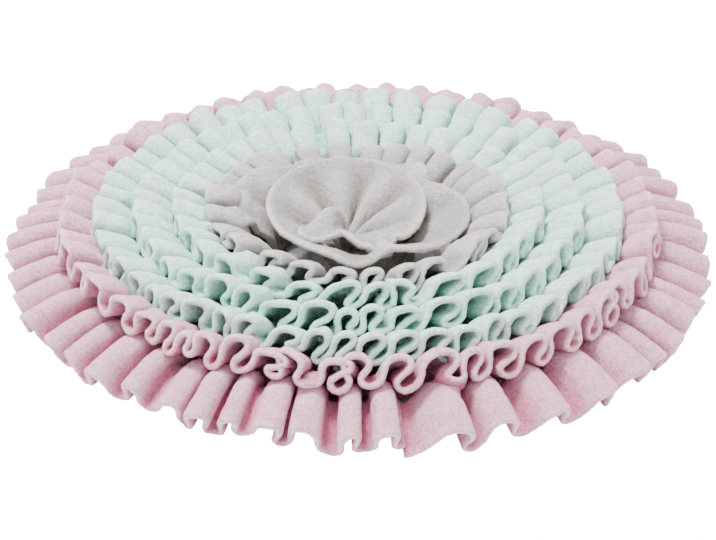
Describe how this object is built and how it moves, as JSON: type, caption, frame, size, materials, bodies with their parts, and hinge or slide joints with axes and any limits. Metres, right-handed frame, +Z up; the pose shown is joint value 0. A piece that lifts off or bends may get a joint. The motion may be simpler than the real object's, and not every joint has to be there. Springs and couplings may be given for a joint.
{
  "type": "snuffle mat",
  "caption": "Round snuffle mat of pleated fleece ruffles sewn in rings on a base cloth, with a bowl-shaped rosette in the middle; it rests flat.",
  "frame": {"origin": "centre of the base cloth's flat underside, on the surface the mat lies on", "axes": "+Z up, out of the floor and through the rosette; -Y is the side seen nearest in the picture, +X is to its right"},
  "size_m": [0.3849, 0.3856, 0.0447],
  "materials": {
    "rose_fleece": "matt brushed fleece, dusty pink, short nap",
    "mint_fleece": "matt brushed fleece, pale mint, short nap",
    "grey_fleece": "matt brushed fleece, warm light grey, short nap",
    "base_fleece": "matt off-white felted cloth"
  },
  "bodies": {
    "root": {"base_cloth": "base_fleece", "rose_outer_ruffle": "rose_fleece", "rose_inner_ruffle": "rose_fleece", "mint_outer_ruffle": "mint_fleece", "mint_middle_ruffle": "mint_fleece", "mint_inner_ruffle": "mint_fleece", "grey_ruffle": "grey_fleece", "grey_rosette": "grey_fleece"}
  },
  "joints": []
}
